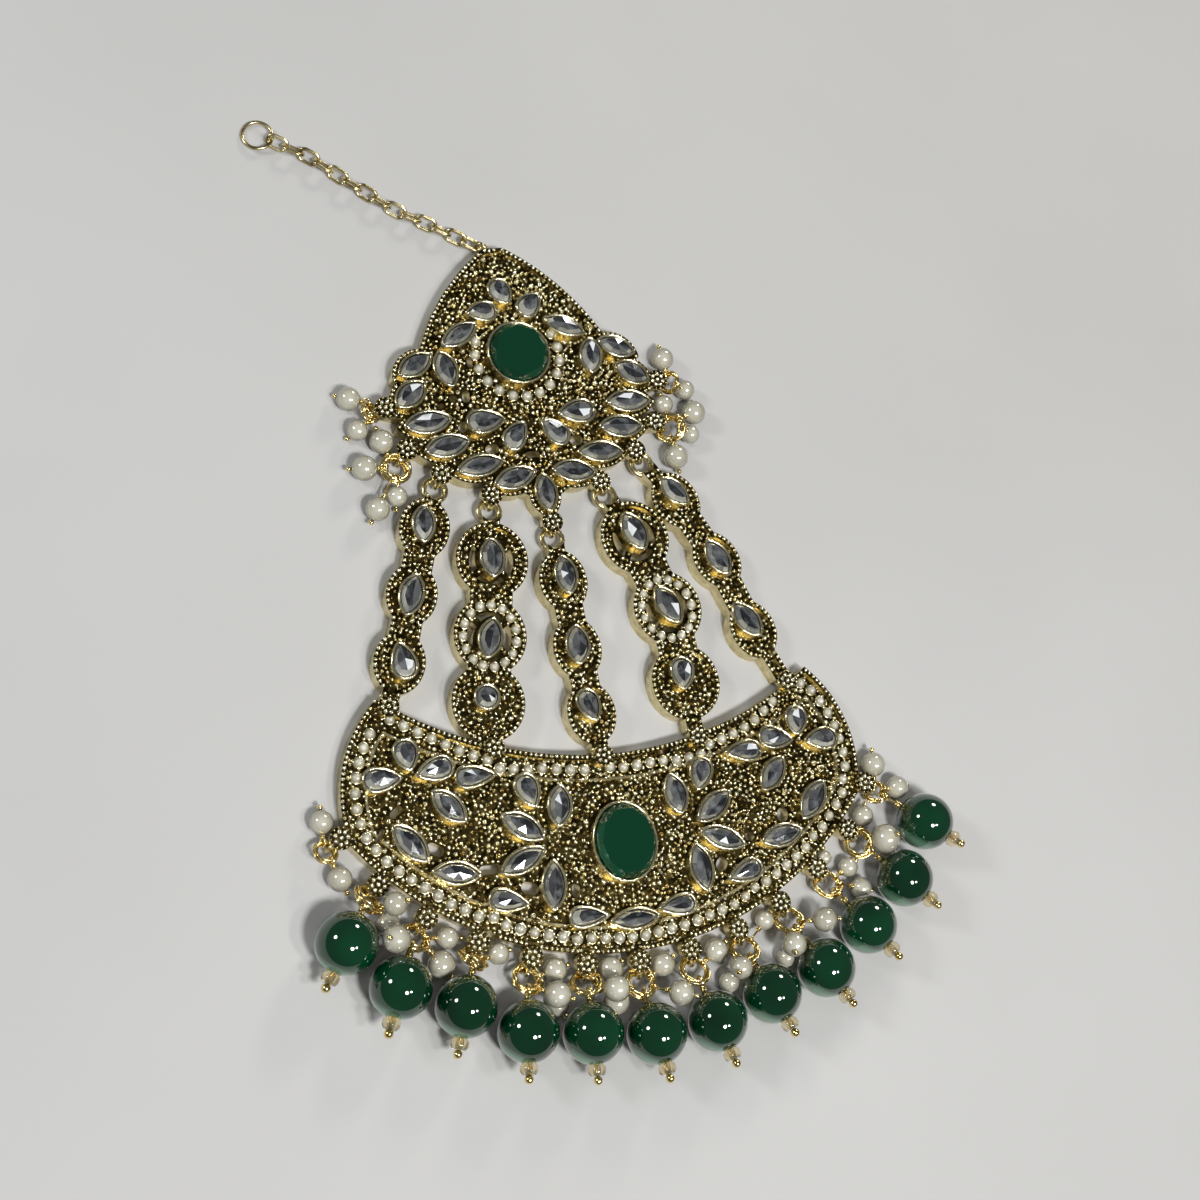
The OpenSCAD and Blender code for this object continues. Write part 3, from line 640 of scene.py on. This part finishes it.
# The oval ring in the middle lobe of each wide strand: its radii, and its middle's place beside the stone
LOBE_PEARLS = 15
LOBE_RING = (3.78, 4.25)
LOBE_SHIFT = {2: (0.2, 0.4), 4: (0.1, -0.4)}
for i, shift in LOBE_SHIFT.items():
    stones = sorted((p.mean(0)[:2] for p in solids_of(f"strand_stones_{i}")), key=lambda p: -p[1])
    line = (stones[0] - stones[2]) / np.linalg.norm(stones[0] - stones[2])
    across = np.array([line[1], -line[0]])
    centre = stones[1] + shift
    ring = []
    for k in range(LOBE_PEARLS):
        a = math.tau * (k + 0.5) / LOBE_PEARLS - math.pi / 2
        ring.append(centre + LOBE_RING[0] * math.cos(a) * across + LOBE_RING[1] * math.sin(a) * line)
    seat_pearls(f"strand_{i}", ring, radius=0.6)


# Grains
GRAIN = dome(8, 3)
GRAIN_SUNK = 0.08

# Along the rails: pitches, the gap between two grains, and how a grain's radius and height follow
STRAND_PITCH = 0.8
PLATE_PITCH = 0.72
MILGRAIN_INSET = 0.42 * RAIL_W
MILGRAIN_GAP = 0.85
MILGRAIN_RADIUS = (0.38, 0.43)
MILGRAIN_TALL = 1.15

# On each lug's cap: a grain in the middle, and rings of a count, a radius, their grains' radius and tone
ROSETTE_R = 1.5
ROSETTE_HEART = 0.33
ROSETTE_HEART_TALL = 1.27
ROSETTE_RINGS = ((7, 0.84, 0.34, 1.0), (13, 1.36, 0.17, 0.55))
ROSETTE_TALL = 1.25

# On the floors: radii to draw from, tries for each square millimetre, how near two grains may come, and
# the angles at which the floor round a grain is probed
GRAIN_RADII = (0.21, 0.25, 0.29, 0.33, 0.37, 0.44)
GRAIN_TRIES = 26
GRAIN_OVERLAP = 0.93
GRAIN_TALL = (1.0, 1.7)
ROUND_IT = (0.4, 1.97, 3.54, 5.11)

# Shares of the grains drawn from each range of tones, added up
GRAIN_TONES = ((0.2, (0.0, 0.3)), (0.45, (0.4, 0.75)), (1.0, (0.8, 1.0)))


class Crowd:
    """Round things already placed, in square cells, to keep new ones clear of them."""

    CELL = 1.0

    def __init__(self):
        self.cells = {}

    def clear(self, x, y, r):
        cx, cy = int(x // self.CELL), int(y // self.CELL)
        for i in (cx - 1, cx, cx + 1):
            for j in (cy - 1, cy, cy + 1):
                for ox, oy, other in self.cells.get((i, j), ()):
                    if (x - ox) ** 2 + (y - oy) ** 2 < ((r + other) * GRAIN_OVERLAP) ** 2:
                        return False
        return True

    def add(self, x, y, r):
        self.cells.setdefault((int(x // self.CELL), int(y // self.CELL)), []).append((x, y, r))


def grain_tone():
    """Mostly very bright, with mid gold and dark grains among them."""
    draw = rng.random()
    tones = next(tones for limit, tones in GRAIN_TONES if draw < limit)
    return rng.uniform(*tones)


def add_grain(batch, x, y, height, radius, tall, tone):
    """A grain sunk a little into what it stands on; tall is its height as a share of its radius."""
    batch.add(GRAIN, at(x, y, height - GRAIN_SUNK, (radius, radius, radius * tall)), tone)


def milgrain(name, batch, crowd):
    """A row of even grains along the rail of the outer edge."""
    pitch = STRAND_PITCH if name.startswith("strand") else PLATE_PITCH
    for x, y in spread(surface[name].rim(MILGRAIN_INSET, pitch), MILGRAIN_GAP * pitch):
        height = surface[name].height_near(x, y, RAIL_Z, reach=0.1)
        if height is not None:
            radius = pitch * rng.uniform(*MILGRAIN_RADIUS)
            add_grain(batch, x, y, height, radius, MILGRAIN_TALL, rng.uniform(0.6, 1.0))
            crowd.add(x, y, radius)


def rosettes(name, batch, crowd):
    """A flower of grains on every lug's cap."""
    plate = surface[name]
    for cap in plate.islands(plate.flat_faces(CAP_Z)):
        centre = (cap[:, :2].min(0) + cap[:, :2].max(0)) / 2
        add_grain(batch, *centre, CAP_Z, ROSETTE_HEART, ROSETTE_HEART_TALL, 1.0)
        crowd.add(*centre, ROSETTE_R)
        for count, ring, radius, tone in ROSETTE_RINGS:
            start = rng.uniform(0, math.tau)
            for k in range(count):
                a = start + math.tau * k / count
                x, y = centre[0] + ring * math.cos(a), centre[1] + ring * math.sin(a)
                height = plate.height_near(x, y, CAP_Z, reach=0.05)
                if height is not None:
                    add_grain(batch, x, y, height, radius, ROSETTE_TALL, tone)


def between_rails(height, slack):
    """Whether a height is that of a floor, a rail or the slope between them."""
    return height is not None and FLOOR_Z - slack < height < RAIL_Z + slack


def fill_with_grains(name, batch, crowd):
    """Grains of mixed sizes, packed at random on every floor."""
    plate = surface[name]
    low, high = plate.points.min(0), plate.points.max(0)
    tries = int((high[0] - low[0]) * (high[1] - low[1]) * GRAIN_TRIES)
    for _ in range(tries):
        x, y = rng.uniform(low[0], high[0]), rng.uniform(low[1], high[1])
        r = rng.choice(GRAIN_RADII)
        if not crowd.clear(x, y, r):
            continue
        height = plate.height(x, y)
        if not between_rails(height, slack=0.05):
            continue
        round_it = [plate.height(x + r * math.cos(a), y + r * math.sin(a)) for a in ROUND_IT]
        if not all(between_rails(h, slack=0.1) for h in round_it):
            continue
        crowd.add(x, y, r)
        add_grain(batch, x, y, height, r, rng.uniform(*GRAIN_TALL), grain_tone())


# A half pearl's cup is a loop of wire round it
CUP = wire_loop(0.14, 14, 5)
CUP_GAP = 0.07
CUP_LIFT = 0.3
PEARL_ROOM = 0.05

for name in PLATES:
    grains = Batch(f"{name}_grains", grain, "antique_gold")
    crowd = Crowd()
    for x, y, r in channel_pearls[name]:
        crowd.add(x, y, r + PEARL_ROOM)
    milgrain(name, grains, crowd)
    rosettes(name, grains, crowd)
    fill_with_grains(name, grains, crowd)
    grains.build()
    if channel_pearls[name]:
        pearls = Batch(f"{name}_half_pearls", pearl, "pearl")
        cups = Batch(f"{name}_pearl_cups", grain, "antique_gold")
        for x, y, r in channel_pearls[name]:
            pearls.add(PEARL_SHAPE, at(x, y, FLOOR_Z + PEARL_LIFT * r, (r, r, r)))
            cup = (r + CUP_GAP, r + CUP_GAP, r)
            cups.add(CUP, at(x, y, FLOOR_Z + CUP_LIFT, cup), rng.uniform(0.5, 0.95))
        pearls.build()
        cups.build()


# Cut stones: each one from the outline of its CAD solid
FINE_OUTLINE = 14
SHARP_TURN = 0.55
MITRE_LIMIT = 0.7


def girdle(points, reach=0.02):
    """The widest level outline of a stone, in order, and its lowest and highest point."""
    low, high = points[:, 2].min(), points[:, 2].max()
    level = [p for p in points if abs(p[2] - (low + 0.5 * (high - low))) < reach]
    centre = np.mean(level, axis=0)
    ordered = sorted(level, key=lambda p: math.atan2(p[1] - centre[1], p[0] - centre[0]))
    return [p[:2] for p in ordered], low, high


def smooth_outline(outline):
    """The outline, with a point between each two if it has few, on the arc, and its sharp tips kept."""
    n = len(outline)
    if n >= FINE_OUTLINE:
        return outline

    def sharp(i):
        a, b = outline[i] - outline[i - 1], outline[(i + 1) % n] - outline[i]
        return a @ b < SHARP_TURN * np.linalg.norm(a) * np.linalg.norm(b)

    points = []
    for i in range(n):
        p, q = outline[i], outline[(i + 1) % n]
        before = 2 * p - q if sharp(i) else outline[i - 1]
        after = 2 * q - p if sharp((i + 1) % n) else outline[(i + 2) % n]
        points += [p, (9 * (p + q) - before - after) / 16]
    return points


def widened(outline, distance):
    """The outline moved outward, its corners mitred."""
    edge = np.array(outline)
    way = np.roll(edge, -1, 0) - edge
    out = np.stack([way[:, 1], -way[:, 0]], 1) / np.linalg.norm(way, axis=1)[:, None]
    both = out + np.roll(out, 1, 0)
    return edge + distance * both / np.maximum(0.5 * (both ** 2).sum(1), MITRE_LIMIT)[:, None]


# The table's width and its crest's height as shares of the stone's, and tones of the crown and heart
CLEAR_CUT = {"table": 0.76, "crest": 0.14, "crown": (0.45, 0.82), "heart": (0.08, 0.32)}
GREEN_CUT = {"table": 0.88, "crest": 0, "crown": (0.45, 0.75), "heart": (0.5, 0.5)}

# The back's width and the girdle's two levels, as shares of the stone's
BACK_WIDTH = 0.9
GIRDLE_SHARES = (0.35, 0.6)

# How far a pale band moves the table, how much of the crown it leaves out, and tones; the pale band is
# painted reflection of the foil on the crown's side toward the camera
BAND_SHIFT = 0.16
BAND_REACH = 0.15
PAINTED_BAND_TONES = (0.72, 0.86)
# Painted highlight: the share of stones with a glint facet, its width and its tone
GLINT_SHARE = 0.3
GLINT_WIDTH = 1.5
PAINTED_GLINT_TONE = 0.95
HEART_VARIETY = (-0.08, 0.12)
BACK_TONE = 0.3


def cut_stone(batch, points, table, crest, crown, heart, band=None):
    """Crown facets round a table, over foil.

    The foil in the stone's heart is painted lit along one long side and in painted shade along the
    other, and a few stones have a painted glint there. Band is the way to the side of the crown where
    a pale painted reflection of the foil shows.
    """
    outline, low, high = girdle(points)
    edge = smooth_outline(outline)
    n = len(edge)
    centre = np.mean(edge, axis=0)
    height = high - low
    shift = np.zeros(2) if band is None else -BAND_SHIFT * np.array(band)

    def ring(scale, z, move=0):
        return [(*(centre + scale * (p - centre) + move), z) for p in edge]

    vertices = ring(BACK_WIDTH, low)
    for share in GIRDLE_SHARES:
        vertices += ring(1, low + share * height)
    vertices += ring(table, high, shift)
    vertices.append((*(centre + shift), high + crest * height))
    faces, tones = [], []
    for k, step in enumerate((1, 1, 2)):
        for i in range(0, n, step):
            below = [k * n + (i + j) % n for j in range(step + 1)]
            faces.append(below + [(k + 1) * n + (i + step) % n, (k + 1) * n + i])
            way = np.array(vertices[k * n + i][:2]) - centre
            in_crown = k == 2 and band is not None
            # Painted reflection: crown facets on the band's side get pale tones
            pale = in_crown and way @ np.array(band) > BAND_REACH * np.linalg.norm(way)
            tones.append(rng.uniform(*(PAINTED_BAND_TONES if pale else crown)))
    # Painted light and shade: the heart is lit along one long side, picked at random, and shaded along the
    # other
    dark, painted_lit_tone = heart
    foiled = painted_lit_tone > dark
    tip = max(edge, key=lambda p: np.hypot(*(p - centre))) - centre
    lit = rng.choice((-1, 1))
    glint = rng.randrange(n) if foiled and rng.random() < GLINT_SHARE else None
    for i in range(0, n, 2):
        faces.append([3 * n + i, 3 * n + (i + 2) % n, 4 * n])
        if glint is not None and abs(i - glint) < GLINT_WIDTH:
            tones.append(PAINTED_GLINT_TONE)
            continue
        middle = np.array(vertices[3 * n + (i + 1) % n][:2]) - centre
        on_painted_lit_side = lit * (tip[0] * middle[1] - tip[1] * middle[0]) > 0
        tones.append((painted_lit_tone if on_painted_lit_side else dark) + foiled * rng.uniform(*HEART_VARIETY))
    faces.append(list(range(n))[::-1])
    tones.append(BACK_TONE)
    batch.add_facets(vertices, faces, tones)


# The wire round a bezel's top, and how far its middle is sunk below that
RIM_WIRE = 0.16
RIM_SUNK = 0.04


def add_rim(batch, points):
    """The bright rounded edge of the bezel round a stone."""
    edge = smooth_outline(girdle(points)[0])
    path = [(*p, BEZEL_TOP - RIM_SUNK) for p in widened(edge, BEZEL_OFF)]
    batch.add(tube(path, RIM_WIRE), Matrix.Identity(4), rng.uniform(0.7, 1.0))


# Pear stones are the short ones with ten points; most get a pale band of painted reflection of the foil
# on the side that faces the camera
PEAR_LENGTH = 4.7
PEAR_POINTS = 10
PAINTED_PALE_SHARE = 0.8
PAINTED_PALE_TURNS = (3.6, 5.2)

for name in CLEAR_STONES:
    stones = Batch(f"{name}_cut", stone_clear, "clear_stone", smooth=False)
    rims = Batch(f"{name}_bezel_rims", grain, "antique_gold")
    for points in solids_of(name):
        add_rim(rims, points)
        outline = girdle(points)[0]
        length = max(np.hypot(*(a - b)) for a in outline for b in outline)
        band = None
        if length < PEAR_LENGTH and len(outline) == PEAR_POINTS and rng.random() < PAINTED_PALE_SHARE:
            angle = rng.uniform(*PAINTED_PALE_TURNS)
            band = (math.cos(angle), math.sin(angle))
        cut_stone(stones, points, **CLEAR_CUT, band=band)
    stones.build(name)
    rims.build()

for name in GREEN_STONES:
    points = solids_of(name)[0]
    stones = Batch(f"{name}_cut", stone_green, "green_stone", smooth=False)
    cut_stone(stones, points, **GREEN_CUT)
    stones.build(name)
    rims = Batch(f"{name}_bezel_rim", grain, "antique_gold")
    add_rim(rims, points)
    rims.build()


# Seed beads under the green beads, and wire coils on the pins
SEED_PROFILE = [(0.3, -0.5), (0.75, -0.55), (0.98, -0.25), (0.98, 0.25),
                (0.75, 0.55), (0.3, 0.5), (0.3, -0.5)]
SEED = lathe(SEED_PROFILE, 18)
SEED_SIZE = (1.2, 1.2, 1.25)
SEED_OFF = 0.62
COIL = helix(0.42, 2.5, 2.2)
BEAD_COIL = (0.38, 0.38, 0.36)
BEAD_COIL_OFF = 0.9
PEARL_COIL = (0.27, 0.27, 0.22)
PEARL_COIL_OFF = 0.05
PIN_LOOP_REACH = 0.12
FAN_CENTRE = Vector((-3.9, -3.95, 0))


def pin_ways(beads, pins):
    """For each bead: its middle, its radius and the way from its middle to its pin's loop."""
    found = []
    wires = [p for name in pins for p in solids_of(name)]
    for points in beads:
        low, high = points.min(0), points.max(0)
        middle, radius = (low + high) / 2, (high - low).mean() / 2
        pin = min(wires, key=lambda p: np.linalg.norm(p - middle, axis=1).min())
        far = np.linalg.norm(pin - middle, axis=1)
        loop = pin[far > far.max() - PIN_LOOP_REACH].mean(0)
        found.append((Vector(middle), radius, Vector(loop - middle).normalized()))
    return found


seeds = Batch("seed_beads", seed, "clear_stone")
coils = Batch("pin_coils", bright, "bright_gold")
green_beads = [p for name in GREEN_BEADS for p in solids_of(name)]
for middle, radius, way in pin_ways(green_beads, BEAD_PINS):
    outward = way if way.dot(middle - FAN_CENTRE) > 0 else -way
    seeds.add(SEED, at(*(middle + outward * (radius + SEED_OFF)), SEED_SIZE, outward))
    spot = middle - outward * (radius + BEAD_COIL_OFF)
    coils.add(COIL, at(*spot, BEAD_COIL, outward, rng.uniform(0, math.tau)))
seeds.build()

small_pearls = [p for name in PEARLS for p in solids_of(name)]
for middle, radius, way in pin_ways(small_pearls, PEARL_PINS):
    spot = middle + way * (radius + PEARL_COIL_OFF)
    coils.add(COIL, at(*spot, PEARL_COIL, way, rng.uniform(0, math.tau)))
coils.build()


# Thin wire in loops round each ring: their sizes as shares of the ring's, how far each one tilts, how far
# apart they are, and the room below a loop for its wire and above the floor
LOOP = wire_loop(0.075, 28, 6)
LOOP_SIZES = (0.86, 1.06, 1.24, 0.98, 1.14)
LOOP_TILTS = (0.0, 0.3, -0.24, 0.42, -0.36)
LOOP_STEP = 0.14
LOOP_ROOM = 0.1
LOOP_LIFT = 0.02
loops = Batch("wire_loops", bright, "bright_gold")
for ring in [p for name in RINGS for p in solids_of(name)]:
    middle = ring.mean(0)
    axes = np.linalg.svd(ring - middle, full_matrices=False)[2]
    radius = np.linalg.norm(ring - middle, axis=1).mean()
    flat = Vector(axes[2]) if axes[2][2] > 0 else -Vector(axes[2])
    for k, (share, tilt) in enumerate(zip(LOOP_SIZES, LOOP_TILTS)):
        way = (flat + tilt * Vector(axes[k % 2])).normalized()
        size = radius * share
        spot = Vector(middle) + LOOP_STEP * (k - 2) * flat
        drop = size * math.sqrt(max(0.0, 1 - way.z ** 2)) + LOOP_ROOM * size
        spot.z = max(spot.z, drop + LOOP_LIFT)
        loops.add(LOOP, at(*spot, (size, size, size), way))
loops.build()


# Floor, lights and camera
def aimed(place, target, roll=0.0):
    """The matrix of a lamp or camera that looks at a target, rolled by some degrees about that line."""
    turn = (Vector(target) - Vector(place)).to_track_quat("-Z", "Y").to_matrix().to_4x4()
    return Matrix.Translation(Vector(place) * MM) @ turn @ Matrix.Rotation(math.radians(roll), 4, "Z")


def light(name, place, size, power, target=(0, 0, 0), colour=(1, 1, 1), mirrored=True):
    """A round lamp; mirrored says whether it shows in glossy surfaces."""
    data = bpy.data.lights.new(name, "AREA")
    data.shape = "DISK"
    data.size = size * MM
    data.energy = power
    data.color = colour
    lamp = bpy.data.objects.new(name, data)
    bpy.context.scene.collection.objects.link(lamp)
    lamp.visible_glossy = mirrored
    lamp.matrix_world = aimed(place, target)


bpy.ops.mesh.primitive_plane_add(size=3, location=(0, 0, 0))
ground = bpy.context.object
ground.name = "floor"
ground.data.materials.append(studio_floor())

light("key", place=(30, -287.5, 590), size=115, power=3.625, target=(0, -10, 0))
light("twin", place=(200, -270, 562.5), size=65, power=0.9375, target=(0, -10, 0))
light("left", place=(-500, 220, 375), size=125, power=1.375, colour=(0.95, 0.98, 1.0))
light("back", place=(325, 475, 290), size=125, power=1.1875, colour=(1.0, 0.97, 0.90))
light("soft", place=(-275, 225, 725), size=1050, power=1.5, mirrored=False)

world = bpy.data.worlds.new("studio")
world.use_nodes = True
world.node_tree.nodes["Background"].inputs["Color"].default_value = (0.9, 0.95, 1.0, 1)
world.node_tree.nodes["Background"].inputs["Strength"].default_value = 0.10
bpy.context.scene.world = world
bpy.context.scene.view_settings.view_transform = "Standard"

CAMERA_PLACE = (-88.74, -50.28, 214.61)
CAMERA_TARGET = (-1.33, -2.69, 0)
CAMERA_ROLL = 55.76
FOCAL_PIXELS = 1700
FRAME_PIXELS = 1200
SENSOR = 36

camera_data = bpy.data.cameras.new("camera")
camera_data.sensor_width = SENSOR
camera_data.lens = SENSOR * FOCAL_PIXELS / FRAME_PIXELS
camera_data.clip_start = 0.005
camera_data.clip_end = 20
camera = bpy.data.objects.new("camera", camera_data)
bpy.context.scene.collection.objects.link(camera)
camera.matrix_world = aimed(CAMERA_PLACE, CAMERA_TARGET, CAMERA_ROLL)
bpy.context.scene.camera = camera
